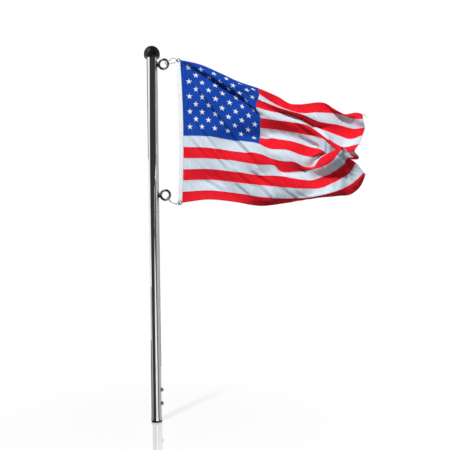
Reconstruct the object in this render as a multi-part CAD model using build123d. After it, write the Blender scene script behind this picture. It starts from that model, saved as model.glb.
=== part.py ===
from build123d import *
from math import cos, pi, radians, sin, tan
import os

# Small flagpole that clamps onto a stub, with a sewn flag tied to two eyes.
# Lengths are in millimetres. The origin is the centre of the foot, Z points up the pole,
# and X points to the side that carries the eyes, the clamp screws and the flag.

# Pole tube
pole_height = 762.0
tube_diameter = 22.2
tube_wall_thickness = 1.5

# Bush in the foot, bored for the stub that the pole stands on
foot_rim_height = 4.0
foot_rim_radius = 0.8
socket_diameter = 13.0
socket_depth = 90.0
bush_clearance = 0.05

# Clamp screws
lower_clamp_height = 37.5
upper_clamp_height = 65.0
clamp_thread_diameter = 5.0
clamp_head_diameter = 8.8
clamp_head_height = 4.0
clamp_tip_depth = 0.6
clamp_clearance = 0.05
key_socket_width = 3.0
key_socket_depth = 1.8

# Cap
cap_diameter = 33.0
cap_rim_diameter = 31.2
cap_height = 24.5
cap_bore_depth = 11.5
cap_rim_radius = 0.8
cap_clearance = 0.05

# Eyes and the threaded inserts that carry them
upper_eye_below_top_distance = 27.0
eye_spacing_distance = 272.0
eye_outer_diameter = 24.8
eye_wire_diameter = 5.2
eye_neck_diameter = 7.0
eye_shank_diameter = 6.0
eye_shank_length = 8.0
insert_flange_diameter = 10.5
insert_flange_thickness = 1.5
insert_barrel_diameter = 8.0
insert_barrel_length = 9.0
insert_clearance = 0.05

# Header of the flag and its grommets
hoist_length = 304.8
header_gap_width = 19.1
header_width = 9.0
header_thickness = 3.0
header_bow_depth = 5.1
header_steps = 4
header_clearance = 0.03
header_rise_height = 11.5
grommet_inset_distance = 5.5
grommet_hole_diameter = 4.4
grommet_barrel_diameter = 5.6
grommet_flange_diameter = 8.0
grommet_flange_thickness = 0.6
grommet_clearance = 0.05

# Cloth of the flag, as it flies: thirteen stripes, with the canton over the first seven
fly_reach_length = 360.0
cloth_thickness = 2.0
wave_depth = 40.0
stripe_count = 13
canton_stripes = 7
canton_fly_share = 0.388
canton_columns = 4
fly_columns = 10

# The folds, read from the photograph along the top edge and then along the foot of each stripe.
# A reading is a share of the fly, how far across and down the picture, and how far toward the viewer.
full_reach_reading = 360.0
full_hoist_reading = 304.8
full_wave_reading = 40.0
hoist_reading = 66.0
top_reading = 746.5
fold_readings = [
    [
        (0, 180.4, 59.5, 0), (0.1, 201, 65.2, 6), (0.2, 220, 73.5, 9), (0.3, 239.5, 82.3, 10),
        (0.388, 258, 88.6, 2), (0.5, 276, 96, -20), (0.6, 291, 104.3, -20), (0.7, 307, 103.1, -31),
        (0.78, 322.8, 102.9, -27), (0.87, 336, 110.2, -14), (0.94, 346.5, 114.7, -15), (1, 363, 115.5, -19),
    ],
    [
        (0, 182, 70.6, 0), (0.13, 207.7, 75.3, -3), (0.26, 232.5, 83.3, -4), (0.388, 259.1, 94.2, -1),
        (0.47, 272.8, 102.9, -16), (0.56, 285.5, 108.8, -21), (0.66, 302.8, 113.6, -29),
        (0.75, 318.7, 112.5, -35), (0.85, 338, 113.8, -31), (0.93, 352, 117.9, -18), (1, 362.5, 119.5, -6),
    ],
    [
        (0, 182.6, 81.4, 0), (0.13, 207.7, 83.6, 5), (0.26, 233.7, 90.5, -8), (0.388, 257.8, 99.3, -1),
        (0.47, 274.5, 106.2, 2), (0.56, 286, 110, 1), (0.66, 303.5, 115, -9), (0.75, 319, 121.8, -26),
        (0.85, 339, 125.3, -35), (0.93, 353, 128.6, -28), (1, 364.3, 127.5, -13),
    ],
    [
        (0, 183, 92.2, 0), (0.13, 207.7, 93.2, 9), (0.26, 236, 100.6, -2), (0.388, 256.2, 107.5, -14),
        (0.47, 272.8, 111.7, -4), (0.56, 288, 114.4, 12), (0.65, 301, 119.6, 11), (0.73, 315, 127.4, -7),
        (0.8, 325, 130, -17), (0.88, 340, 135.8, -27), (0.95, 352, 139.2, -21), (1, 362.8, 135, -9),
    ],
    [
        (0, 183.2, 103, 0), (0.13, 207.7, 104.3, 4), (0.26, 235.2, 110.9, 6), (0.388, 260.3, 117.9, -11),
        (0.47, 275, 119.9, -15), (0.56, 291, 121.9, -2), (0.65, 307, 125.5, 16), (0.72, 317, 131.6, 10),
        (0.8, 327.5, 138.7, 2), (0.88, 337.5, 145, -8), (0.94, 346, 147, -10), (1, 358.7, 144.2, -2),
    ],
    [
        (0, 183.3, 113.9, 0), (0.13, 207.7, 114.8, 1), (0.26, 234.5, 120.7, 7), (0.388, 260.3, 127.8, -1),
        (0.47, 277, 129.9, -10), (0.56, 295, 132.8, -12), (0.65, 311, 135.5, 3), (0.72, 321.5, 137.7, 18),
        (0.8, 329, 144.2, 16), (0.88, 335.5, 149.5, 6), (0.94, 343, 152, 0), (1, 354.2, 151, 3),
    ],
    [
        (0, 183.3, 124.8, 0), (0.13, 207.7, 125.5, 6), (0.26, 234.2, 130.5, 1), (0.388, 259.9, 137.9, 7),
        (0.47, 277, 138.2, 2), (0.56, 296, 141.8, -7), (0.65, 313, 147.3, -6), (0.72, 322, 150.5, 8),
        (0.78, 327.5, 154, 4), (0.88, 335, 155, -12), (0.94, 345, 155.8, -14), (1, 359, 157, -10),
    ],
    [
        (0, 183.2, 135.8, 0), (0.13, 208, 136.3, 8), (0.26, 233, 140.2, -4), (0.388, 259.1, 143.8, -1),
        (0.45, 270, 149.7, 5), (0.53, 286, 150.4, 0), (0.61, 299, 155.1, -5), (0.69, 312.5, 157.1, -4),
        (0.76, 323, 155.3, -6), (0.84, 331, 157.5, -5), (0.92, 340.5, 158.5, -3), (1, 354, 159, -2),
    ],
    [
        (0, 183.2, 147, 0), (0.13, 208, 147.7, 7), (0.26, 234, 151.6, 1), (0.388, 261, 154.3, 3),
        (0.44, 270, 158, -1), (0.5, 281, 160.8, -5), (0.57, 294, 161.7, -6), (0.64, 304, 166.6, -10),
        (0.7, 313.5, 166.3, -3), (0.76, 320, 158.5, 10), (0.82, 326.6, 153.6, 18), (0.9, 334, 149.6, 17),
        (1, 342, 147.5, 6),
    ],
    [
        (0, 183.2, 158.2, 0), (0.13, 208, 158.4, 7), (0.26, 234, 160.5, 5), (0.388, 261, 165, 5),
        (0.44, 272.8, 165, 3), (0.5, 281.2, 171.8, 0), (0.57, 295, 172, -2), (0.64, 306, 170.5, -3),
        (0.71, 316, 168.8, 9), (0.8, 327, 165, 20), (0.88, 333.5, 160, 24), (0.95, 337.5, 154.5, 26),
        (1, 340.5, 151, 24),
    ],
    [
        (0, 183.2, 169.3, 0), (0.13, 210, 169.1, 1), (0.26, 236, 172.2, 7), (0.388, 262, 175.5, -1),
        (0.48, 279.5, 175.8, 9), (0.57, 297, 179, 8), (0.65, 311, 180.3, -1), (0.73, 322.8, 176.7, 15),
        (0.82, 334, 172, 30), (0.91, 343, 165, 26), (1, 347, 158.3, 22),
    ],
    [
        (0, 183.2, 180.3, 0), (0.13, 211, 179.8, 0), (0.26, 237, 182.5, 5), (0.388, 263, 185.3, 1),
        (0.5, 285, 187.3, 3), (0.6, 305, 188.7, 7), (0.68, 319, 188.5, 6), (0.78, 333, 182.9, 24),
        (0.88, 345.5, 176, 24), (0.95, 352, 170.8, 32), (1, 355.8, 162.9, 25),
    ],
    [
        (0, 182.6, 191.8, 0), (0.13, 210, 190.5, 3), (0.26, 236, 193.2, 2), (0.388, 262, 197.2, 0),
        (0.5, 284, 198.6, -3), (0.6, 303, 198, 2), (0.7, 321, 195.1, 14), (0.8, 337, 190.9, 16),
        (0.9, 351, 184.2, 24), (1, 363.7, 173.3, 24),
    ],
    [
        (0, 182.3, 202.8, 0), (0.13, 208, 199.2, -8), (0.26, 235, 201.6, -10), (0.388, 261, 205.6, -11),
        (0.5, 284, 203, -17), (0.6, 303, 200.1, -4), (0.7, 320, 197.3, 4), (0.8, 337, 195.6, 0),
        (0.9, 353, 192.5, 10), (0.96, 361, 184.5, 11), (1, 364.9, 175.4, 8),
    ],
]

# Where the photograph was taken from
sight_turn = 17.94
sight_range = 1302.4
sight_level = 356.1
sight_focus = 627.3
sight_aim_right = 6.442
sight_aim_up = 1.915
sight_roll = -1.001
picture_middle = 225.0

# Ties between the grommets and the eyes
tie_diameter = 1.5
tie_clearance = 0.55
tie_side_clearance = 1.0
tie_seat_clearance = 0.3
tie_eye_angle = 15.0
tie_spread_height = 1.2
tie_lead_length = 6.0
tie_sag_depth = 1.5
knot_diameter = 4.2
bend_share = 0.45
knot_entry_share = 0.6

# How far a cut runs past the faces that it opens
cut_overrun_length = 2.0

upper_eye_height = pole_height - upper_eye_below_top_distance
lower_eye_height = upper_eye_height - eye_spacing_distance
tube_radius = tube_diameter / 2
tube_inner_radius = tube_radius - tube_wall_thickness
eye_seat = tube_radius + insert_flange_thickness
eye_centre = eye_seat + eye_outer_diameter / 2
eye_ring_radius = (eye_outer_diameter - eye_wire_diameter) / 2
header_start = eye_centre + eye_outer_diameter / 2 + header_gap_width
header_end = header_start + header_width
header_top = upper_eye_height + header_rise_height
header_bottom = header_top - hoist_length
header_middle = (header_top + header_bottom) / 2


def rod_along_x(diameter, start, end, height):
    """A round bar along X at a height above the foot."""
    middle = (start + end) / 2
    return Pos(middle, 0, height) * Rot(0, 90, 0) * Cylinder(diameter / 2, end - start)


def tube_envelope():
    """The round space inside the outer face of the tube, over its whole height."""
    return Cylinder(tube_radius, pole_height, align=(Align.CENTER, Align.CENTER, Align.MIN))


def make_pole_tube():
    wall = pole_height - foot_rim_height
    tube = Cylinder(tube_radius, wall, align=(Align.CENTER, Align.CENTER, Align.MIN))
    tube -= Cylinder(tube_inner_radius, wall, align=(Align.CENTER, Align.CENTER, Align.MIN))
    tube = Pos(0, 0, foot_rim_height) * tube
    for height in (upper_eye_height, lower_eye_height):
        hole = insert_barrel_diameter + 2 * insert_clearance
        tube -= rod_along_x(hole, 0, tube_radius + cut_overrun_length, height)
    for height in (lower_clamp_height, upper_clamp_height):
        hole = clamp_thread_diameter + 2 * clamp_clearance
        tube -= rod_along_x(hole, 0, tube_radius + cut_overrun_length, height)
    return tube


def make_socket_bush():
    base = (Align.CENTER, Align.CENTER, Align.MIN)
    rim = Cylinder(tube_radius, foot_rim_height, align=base)
    rim = fillet(rim.edges().group_by(Axis.Z)[0], foot_rim_radius)
    bush = rim + Cylinder(tube_inner_radius - bush_clearance, socket_depth, align=base)
    bush -= Cylinder(socket_diameter / 2, socket_depth, align=base)
    for height in (lower_clamp_height, upper_clamp_height):
        hole = clamp_thread_diameter + 2 * clamp_clearance
        bush -= rod_along_x(hole, 0, tube_radius + cut_overrun_length, height)
    return bush


def make_clamp_screw(height):
    """Dome-headed screw whose head beds on the round tube."""
    crown = tube_radius + clamp_head_height
    brim = height + clamp_head_diameter / 2
    dome = (clamp_head_diameter**2 / 4 + clamp_head_height**2) / (2 * clamp_head_height)
    with BuildPart() as head:
        with BuildSketch(Plane.XZ):
            with BuildLine():
                Line((0, height), (crown, height))
                RadiusArc((tube_radius, brim), (crown, height), dome)
                Line((tube_radius, brim), (0, brim))
                Line((0, brim), (0, height))
            make_face()
        revolve(axis=Axis((0, 0, height), (1, 0, 0)))
    screw = head.part - tube_envelope()
    tip = socket_diameter / 2 + clamp_tip_depth
    screw += rod_along_x(clamp_thread_diameter, tip, crown - clamp_head_height / 2, height)
    key = RegularPolygon(key_socket_width / 2, 6, major_radius=False)
    return screw - extrude(Pos(crown, 0, height) * Rot(0, -90, 0) * key, key_socket_depth)


def make_top_cap():
    """Turned ball that narrows a little to its rim, bored to sit over the end of the tube."""
    rim_height = pole_height - cap_bore_depth
    ball = cap_diameter / 2
    centre = rim_height + cap_height - ball
    with BuildPart() as cap:
        with BuildSketch(Plane.XZ):
            with BuildLine():
                skirt = TangentArc((ball, centre), (cap_rim_diameter / 2, rim_height), tangent=(0, -1))
                Line(skirt @ 1, (0, rim_height))
                Line((0, rim_height), (0, centre + ball))
                CenterArc((0, centre), ball, 0, 90)
            make_face()
        revolve(axis=Axis.Z)
        fillet(cap.edges().group_by(Axis.Z)[0], cap_rim_radius)
    hang = (Align.CENTER, Align.CENTER, Align.MAX)
    bore = Cylinder(tube_radius + cap_clearance, cap_bore_depth, align=hang)
    return cap.part - Pos(0, 0, pole_height) * bore


def make_eye_insert(height):
    """Threaded insert set in the tube's wall, its flange bedded on the round face."""
    flange = rod_along_x(insert_flange_diameter, 0, eye_seat, height) - tube_envelope()
    insert = flange + rod_along_x(insert_barrel_diameter, eye_seat - insert_barrel_length, eye_seat, height)
    hole = eye_shank_diameter + 2 * insert_clearance
    return insert - rod_along_x(hole, 0, eye_seat + cut_overrun_length, height)


def make_eye(height):
    """Round eye with a short neck on the insert's flange and a shank in its thread."""
    ring = Pos(eye_centre, 0, height) * Rot(90, 0, 0) * Torus(eye_ring_radius, eye_wire_diameter / 2)
    root = eye_seat + eye_wire_diameter / 2
    neck = rod_along_x(eye_neck_diameter, eye_seat, root, height)
    shank = rod_along_x(eye_shank_diameter, eye_seat - eye_shank_length, root, height)
    return ring + neck + shank


def grommet_heights():
    return header_top - grommet_inset_distance, header_bottom + grommet_inset_distance


def hoist_edge(height):
    """How far out the header's cloth side stands: the ties draw its ends toward the pole."""
    share = 2 * (height - header_middle) / hoist_length
    return header_end - header_bow_depth * share**2


def grommet_place(height):
    return hoist_edge(height) - header_width / 2


def make_flag_header():
    """Bowed canvas band with a hole for each grommet."""
    heights = [header_bottom + hoist_length * step / header_steps for step in range(header_steps + 1)]
    outer = [(hoist_edge(height) - header_clearance, 0, height) for height in heights]
    inner = [(x - header_width, y, z) for x, y, z in outer]
    edges = [Edge.make_spline([Vector(point) for point in side]) for side in (outer, inner)]
    flat = Face.make_surface_from_curves(edges[0], edges[1])
    header = extrude(flat, header_thickness / 2, dir=(0, 1, 0), both=True)
    for height in grommet_heights():
        barrel = grommet_barrel_diameter / 2 + grommet_clearance
        hole = Cylinder(barrel, header_thickness + cut_overrun_length)
        header -= Pos(grommet_place(height), 0, height) * Rot(90, 0, 0) * hole
    return header


def make_grommet(height):
    """Eyelet with a rolled flange on each face of the header."""
    length = header_thickness + 2 * grommet_flange_thickness
    grommet = Cylinder(grommet_barrel_diameter / 2, length)
    for side in (-1, 1):
        flange = Cylinder(grommet_flange_diameter / 2, grommet_flange_thickness)
        grommet += Pos(0, 0, side * (header_thickness + grommet_flange_thickness) / 2) * flange
    grommet -= Cylinder(grommet_hole_diameter / 2, length)
    return Pos(grommet_place(height), 0, height) * Rot(90, 0, 0) * grommet


def sight_axes():
    """Where the photograph was taken from, and its forward, right and up directions."""
    turn = radians(sight_turn)
    eye = Vector(sin(turn) * sight_range, -cos(turn) * sight_range, sight_level)
    forward = Vector(-sin(turn), cos(turn), 0)
    right = Vector(cos(turn), sin(turn), 0)
    up = Vector(0, 0, 1)
    aim = radians(sight_aim_right)
    forward, right = forward * cos(aim) + right * sin(aim), right * cos(aim) - forward * sin(aim)
    tilt = radians(sight_aim_up)
    forward, up = forward * cos(tilt) + up * sin(tilt), up * cos(tilt) - forward * sin(tilt)
    roll = radians(sight_roll)
    right, up = right * cos(roll) + up * sin(roll), up * cos(roll) - right * sin(roll)
    return eye, forward, right, up


def read_point(across, down, toward):
    """The point of the cloth that the photograph shows at a place in the picture."""
    eye, forward, right, up = sight_axes()
    sideways = (across - picture_middle) / sight_focus
    upward = (picture_middle - down) / sight_focus
    ray = forward + right * sideways + up * upward
    depth = -toward * wave_depth / full_wave_reading
    spot = eye + ray * ((depth - eye.Y) / ray.Y)
    return Vector(
        header_end + (spot.X - hoist_reading) * fly_reach_length / full_reach_reading,
        depth,
        header_top + (spot.Z - top_reading) * hoist_length / full_hoist_reading,
    )


def stripe_line(readings):
    """The middle of the cloth along one stripe edge, from the header to the fly."""
    points = [read_point(across, down, toward) for share, across, down, toward in readings]
    points[0] = Vector(hoist_edge(points[0].Z), 0, points[0].Z)
    return Edge.make_spline(points, parameters=[reading[0] for reading in readings])


def cloth_columns():
    """Shares of the fly at which the cloth's two faces are drawn."""
    rest = 1 - canton_fly_share
    shares = [canton_fly_share * column / canton_columns for column in range(canton_columns)]
    return shares + [canton_fly_share + rest * column / fly_columns for column in range(fly_columns + 1)]


def cloth_edges():
    """For each stripe edge, the curves along the front and the back of the cloth, with their points."""
    shares = cloth_columns()
    mode = PositionMode.PARAMETER
    lines = [stripe_line(readings) for readings in fold_readings]
    net = [[line.position_at(share, position_mode=mode) for share in shares] for line in lines]
    edges = []
    for row, points in enumerate(net):
        above = net[max(row - 1, 0)]
        below = net[min(row + 1, len(net) - 1)]
        facing = [Vector(0, -1, 0)]
        for column in range(1, len(shares)):
            after = points[min(column + 1, len(shares) - 1)]
            along = after - points[column - 1]
            facing.append((below[column] - above[column]).cross(along).normalized())
        pair = []
        for side in (1, -1):
            lift = side * cloth_thickness / 2
            face = [point + direction * lift for point, direction in zip(points, facing)]
            pair.append((Edge.make_spline(face, parameters=shares), face))
        edges.append(pair)
    return edges


def strip(upper, lower, start, end):
    """A sewn strip of cloth between two stripe edges, from one column of points to another."""
    corners = [upper[0], lower[0], lower[1], upper[1]]
    edges = [curve.trim(points[start], points[end]) for curve, points in corners]
    following = edges[1:] + edges[:1]
    sides = [Face.make_surface_from_curves(first, second) for first, second in zip(edges, following)]
    for column in (start, end):
        rim = [points[column] for curve, points in corners]
        front = Edge.make_line(rim[0], rim[1])
        back = Edge.make_line(rim[3], rim[2])
        sides.append(Face.make_surface_from_curves(front, back))
    return Solid(Shell(sides))


def make_canton_and_stripes():
    edges = cloth_edges()
    seam = canton_columns
    fly = canton_columns + fly_columns
    blue = [strip(edges[row], edges[row + 1], 0, seam) for row in range(canton_stripes)]
    pieces = {"canton": Part() + blue}
    for row in range(stripe_count):
        start = seam if row < canton_stripes else 0
        pieces[f"stripe_{row + 1:02d}"] = strip(edges[row], edges[row + 1], start, fly)
    return pieces


def bend_radii(points):
    """The largest round that each corner of a cord's route has room for."""
    runs = [Vector(end) - Vector(start) for start, end in zip(points, points[1:])]
    radii = []
    for run, following in zip(runs, runs[1:]):
        turn = radians(run.get_angle(following))
        radii.append(bend_share * min(run.length, following.length) / tan(turn / 2))
    return radii


def make_tie(eye_height, grommet_height, side):
    """Loop of cord through a grommet and round the wire of an eye, its ends in one knot."""
    tip = (eye_wire_diameter + tie_diameter) / 2 + tie_clearance
    loop = (eye_wire_diameter + tie_diameter) / 2 + tie_side_clearance
    wire_x = eye_centre + eye_ring_radius * cos(radians(tie_eye_angle))
    wire_z = eye_height + side * eye_ring_radius * sin(radians(tie_eye_angle))
    cord_x = grommet_place(grommet_height) - grommet_hole_diameter / 2 + tie_diameter / 2 + tie_seat_clearance
    face = header_thickness / 2 + grommet_flange_thickness + tie_seat_clearance
    knot_y = face + knot_diameter / 2
    entry = knot_entry_share * knot_diameter / 2
    middle_x = (wire_x + tie_lead_length + cord_x) / 2
    middle_z = (wire_z + grommet_height) / 2
    points = [
        (cord_x - entry, -knot_y, grommet_height),
        (middle_x, -(loop + knot_y) / 2, middle_z + tie_spread_height + side * tie_sag_depth),
        (wire_x + tie_lead_length, -loop, wire_z + tie_spread_height),
        (wire_x - tip, -loop, wire_z + tie_spread_height),
        (wire_x - tip, loop, wire_z - tie_spread_height),
        (wire_x + tie_lead_length, loop, wire_z - tie_spread_height),
        (middle_x, loop, middle_z - tie_spread_height + side * tie_sag_depth),
        (cord_x, face + tie_diameter, grommet_height),
        (cord_x, entry - knot_y, grommet_height),
    ]
    radii = bend_radii(points)
    path = FilletPolyline(*points, radius=radii)
    cord = sweep(Plane(path @ 0, z_dir=path % 0) * Circle(tie_diameter / 2), path=path)
    print("tie", round(path.length, 1), "mm long, radii", [round(radius, 1) for radius in radii])
    return cord + Pos(cord_x, -knot_y, grommet_height) * Sphere(knot_diameter / 2)


upper_grommet_height, lower_grommet_height = grommet_heights()
nodes = {
    "pole_tube": make_pole_tube(),
    "top_cap": make_top_cap(),
    "socket_bush": make_socket_bush(),
    "upper_clamp_screw": make_clamp_screw(upper_clamp_height),
    "lower_clamp_screw": make_clamp_screw(lower_clamp_height),
    "upper_eye_insert": make_eye_insert(upper_eye_height),
    "lower_eye_insert": make_eye_insert(lower_eye_height),
    "upper_eye": make_eye(upper_eye_height),
    "lower_eye": make_eye(lower_eye_height),
    "flag_header": make_flag_header(),
    "upper_grommet": make_grommet(upper_grommet_height),
    "lower_grommet": make_grommet(lower_grommet_height),
    "upper_tie": make_tie(upper_eye_height, upper_grommet_height, 1),
    "lower_tie": make_tie(lower_eye_height, lower_grommet_height, -1),
}
nodes.update(make_canton_and_stripes())

os.makedirs("parts", exist_ok=True)
for name, shape in nodes.items():
    export_step(shape, f"parts/{name}.step")
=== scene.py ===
import math

import bpy
import numpy as np
from mathutils import Matrix, Vector


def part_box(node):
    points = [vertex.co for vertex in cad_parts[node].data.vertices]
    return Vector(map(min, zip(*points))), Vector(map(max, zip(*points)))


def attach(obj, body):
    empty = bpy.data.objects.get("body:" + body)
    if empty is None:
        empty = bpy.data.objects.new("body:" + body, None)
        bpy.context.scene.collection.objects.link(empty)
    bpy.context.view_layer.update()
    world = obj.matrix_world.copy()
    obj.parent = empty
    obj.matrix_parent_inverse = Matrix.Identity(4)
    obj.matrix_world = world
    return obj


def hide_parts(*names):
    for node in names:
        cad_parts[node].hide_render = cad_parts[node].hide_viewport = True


bl_info = {
    "name": "Flagpole with a waving flag",
    "version": (1, 1, 0),
    "blender": (4, 5, 0),
    "location": "View3D > Sidebar > Flagpole",
    "description": "Dresses a short steel flagpole with its flag, ties, fittings and studio",
    "category": "Object",
}

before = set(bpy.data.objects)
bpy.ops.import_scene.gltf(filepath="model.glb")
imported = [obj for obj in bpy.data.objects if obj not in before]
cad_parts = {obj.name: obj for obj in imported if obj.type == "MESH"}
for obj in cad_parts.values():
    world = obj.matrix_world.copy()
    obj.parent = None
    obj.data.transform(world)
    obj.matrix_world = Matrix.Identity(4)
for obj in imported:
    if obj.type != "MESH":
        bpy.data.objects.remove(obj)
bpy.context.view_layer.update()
header_low, header_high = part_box("flag_header")
header_middle = (header_low.z + header_high.z) / 2
header_length = header_high.z - header_low.z

stripe_nodes = [f"stripe_{number:02d}" for number in range(1, 14)]
grommet_nodes = ["upper_grommet", "lower_grommet"]

# The flag's folds, read from the photograph along its top edge and then along the lower edge of each
# stripe: share of the fly, pixel across, pixel down, and millimetres toward the viewer.
fold_lines = {
    "top_edge": [
        (0, 180.4, 59.5, 0), (0.1, 201, 65.2, 3), (0.2, 220, 73.5, 1), (0.3, 239.5, 82.3, -4),
        (0.388, 258, 88.6, -7), (0.5, 276, 96, -20), (0.6, 291, 104.3, -20), (0.7, 307, 103.1, -31),
        (0.78, 322.8, 102.9, -27), (0.87, 336, 110.2, -14), (0.94, 346.5, 114.7, -15),
        (0.98, 358, 112.4, -19), (1, 363, 114.8, -21),
    ],
    "stripe_1": [
        (0, 182, 70.6, 0), (0.13, 207.7, 75.3, 2), (0.26, 232.5, 83.3, 3), (0.388, 259.1, 94.2, -2),
        (0.47, 272.8, 102.9, -12), (0.56, 285.5, 108.8, -16), (0.66, 302.8, 113.6, -16),
        (0.75, 318.7, 112.5, -24), (0.85, 338, 113.8, -27), (0.93, 352, 117.9, -18), (1, 362.5, 119.5, -6),
    ],
    "stripe_2": [
        (0, 182.6, 81.4, 0), (0.13, 207.7, 83.6, -1), (0.26, 233.7, 90.5, -1), (0.388, 257.8, 99.3, 1),
        (0.47, 274.5, 106.2, 0), (0.56, 286, 110, 6), (0.66, 303.5, 115, 8), (0.75, 319, 121.8, -12),
        (0.85, 339, 125.3, -27), (0.93, 353, 128.6, -28), (1, 364.3, 127.5, -13),
    ],
    "stripe_3": [
        (0, 183, 92.2, 0), (0.13, 207.7, 93.2, 3), (0.26, 236, 100.6, -4), (0.388, 256.2, 107.5, 1),
        (0.47, 272.8, 111.7, 0), (0.56, 288, 114.4, -10), (0.65, 301, 119.6, -14), (0.73, 315, 127.4, -22),
        (0.8, 325, 130, -24), (0.88, 340, 135.8, -27), (0.95, 352, 139.2, -21), (1, 362.8, 135, -9),
    ],
    "stripe_4": [
        (0, 183.2, 103, 0), (0.13, 207.7, 104.3, 4), (0.26, 235.2, 110.9, 1), (0.388, 260.3, 117.9, -1),
        (0.47, 275, 119.9, 2), (0.56, 291, 121.9, 4), (0.65, 307, 125.5, 6), (0.72, 317, 131.6, 4),
        (0.8, 327.5, 138.7, 2), (0.88, 337.5, 145, -8), (0.94, 346, 147, -10), (1, 358.7, 144.2, -2),
    ],
    "stripe_5": [
        (0, 183.3, 113.9, 0), (0.13, 207.7, 114.8, 1), (0.26, 234.5, 120.7, 4), (0.388, 260.3, 127.8, -8),
        (0.47, 277, 129.9, -10), (0.56, 295, 132.8, -10), (0.65, 311, 135.5, -4), (0.72, 321.5, 137.7, 10),
        (0.8, 329, 144.2, 14), (0.88, 335.5, 149.5, 6), (0.94, 343, 152, 0), (1, 354.2, 151, 3),
    ],
    "stripe_6": [
        (0, 183.3, 124.8, 0), (0.13, 207.7, 125.5, 6), (0.26, 234.2, 130.5, 1), (0.388, 259.9, 137.9, -12),
        (0.47, 277, 138.2, -15), (0.56, 296, 141.8, -13), (0.65, 313, 147.3, -12), (0.72, 322, 150.5, 8),
        (0.78, 327.5, 154, 4), (0.88, 335, 155, -12), (0.94, 345, 155.8, -14), (1, 359, 157, -10),
    ],
    "stripe_7": [
        (0, 183.2, 135.8, 0), (0.13, 208, 136.3, 8), (0.26, 233, 140.2, -4), (0.388, 259.1, 143.8, 0),
        (0.45, 270, 149.7, 3), (0.53, 286, 150.4, 4), (0.61, 299, 155.1, 2), (0.69, 312.5, 157.1, 0),
        (0.76, 323, 155.3, -6), (0.84, 331, 157.5, -5), (0.92, 340.5, 158.5, -3), (1, 354, 159, -2),
    ],
    "stripe_8": [
        (0, 183.2, 147, 0), (0.13, 208, 147.7, 7), (0.26, 234, 151.6, 1), (0.388, 261, 154.3, 3),
        (0.44, 270, 158, 2), (0.5, 281, 160.8, 3), (0.57, 294, 161.7, 5), (0.64, 304, 166.6, 0),
        (0.7, 313.5, 166.3, -3), (0.76, 320, 158.5, 10), (0.82, 326.6, 153.6, 18), (0.9, 334, 149.6, 17),
        (1, 342, 147.5, 6),
    ],
    "stripe_9": [
        (0, 183.2, 158.2, 0), (0.13, 208, 158.4, 7), (0.26, 234, 160.5, 5), (0.388, 261, 165, 5),
        (0.44, 272.8, 165, 3), (0.5, 281.2, 171.8, 0), (0.57, 295, 172, -2), (0.64, 306, 170.5, -3),
        (0.71, 316, 168.8, 12), (0.8, 327, 165, 30), (0.88, 333.5, 160, 36), (0.95, 337.5, 154.5, 36),
        (1, 340.5, 151, 32),
    ],
    "stripe_10": [
        (0, 183.2, 169.3, 0), (0.13, 210, 169.1, 5), (0.26, 236, 172.2, 7), (0.388, 262, 175.5, -1),
        (0.48, 279.5, 175.8, 7), (0.57, 297, 179, 6), (0.65, 311, 180.3, 1), (0.73, 322.8, 176.7, 5),
        (0.82, 334, 172, 8), (0.91, 343, 165, 14), (1, 347, 158.3, 12),
    ],
    "stripe_11": [
        (0, 183.2, 180.3, 0), (0.13, 211, 179.8, 0), (0.26, 237, 182.5, 5), (0.388, 263, 185.3, 1),
        (0.5, 285, 187.3, 10), (0.6, 305, 188.7, 12), (0.68, 319, 188.5, 11), (0.78, 333, 182.9, 11),
        (0.88, 345.5, 176, 2), (0.95, 352, 170.8, -4), (1, 355.8, 162.9, -6),
    ],
    "stripe_12": [
        (0, 182.6, 191.8, 0), (0.13, 210, 190.5, 3), (0.26, 236, 193.2, 2), (0.388, 262, 197.2, 0),
        (0.5, 284, 198.6, -1), (0.6, 303, 198, 5), (0.7, 321, 195.1, 14), (0.8, 337, 190.9, 14),
        (0.9, 351, 184.2, -2), (1, 363.7, 173.3, -10),
    ],
    "bottom_edge": [
        (0, 182.3, 202.8, 0), (0.13, 208, 199.2, 5), (0.26, 235, 201.6, 2), (0.388, 261, 205.6, -9),
        (0.5, 284, 203, -12), (0.6, 303, 200.1, -2), (0.7, 320, 197.3, 6), (0.8, 337, 195.6, 8),
        (0.9, 353, 192.5, -4), (0.96, 361, 184.5, -10), (1, 364.9, 175.4, -14),
    ],
}

# Creases in the cloth: fly share and hoist share at each end, then bow, width and step in millimetres.
crease_lines = [
    (0.01, 0.02, 0.41, 0.285, 8.0, 7.2, 5.6),
    (0.05, 0.16, 0.38, 0.70, 0.0, 5.0, 4.2),
    (0.04, 0.40, 0.25, 0.73, 0.0, 4.0, 2.2),
    (0.04, 0.55, 0.10, 0.65, 0.0, 4.0, 1.0),
    (0.12, 0.14, 0.34, 0.46, 0.0, 4.0, 1.2),
    (0.31, 0.27, 0.385, 0.44, 0.0, 4.0, 1.2),
    (0.25, 0.75, 0.345, 0.86, 0.0, 4.2, 2.4),
    (0.335, 0.74, 0.44, 0.84, 0.0, 4.2, 2.4),
    (0.15, 0.62, 0.22, 0.76, 0.0, 4.2, 1.8),
    (0.25, 0.85, 0.345, 0.94, 0.0, 4.0, 2.0),
    (0.37, 0.84, 0.45, 0.94, 0.0, 4.0, 2.2),
    (0.47, 0.83, 0.59, 0.94, 0.0, 4.2, 1.5),
    (0.55, 0.86, 0.66, 0.95, 0.0, 4.0, 1.1),
    (0.40, 0.43, 0.49, 0.52, 0.0, 4.0, 2.0),
    (0.54, 0.28, 0.68, 0.37, 0.0, 4.5, 2.0),
    (0.09, 0.83, 0.20, 0.92, 0.0, 4.0, 1.7),
    (0.20, 0.03, 0.36, 0.11, 2.0, 4.0, 1.2),
    (0.71, 0.235, 0.82, 0.30, 0.0, 5.0, 2.8),
    (0.82, 0.265, 0.94, 0.285, 0.0, 4.5, 1.8),
    (0.57, 0.405, 0.70, 0.445, 0.0, 5.5, 2.8),
]

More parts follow.
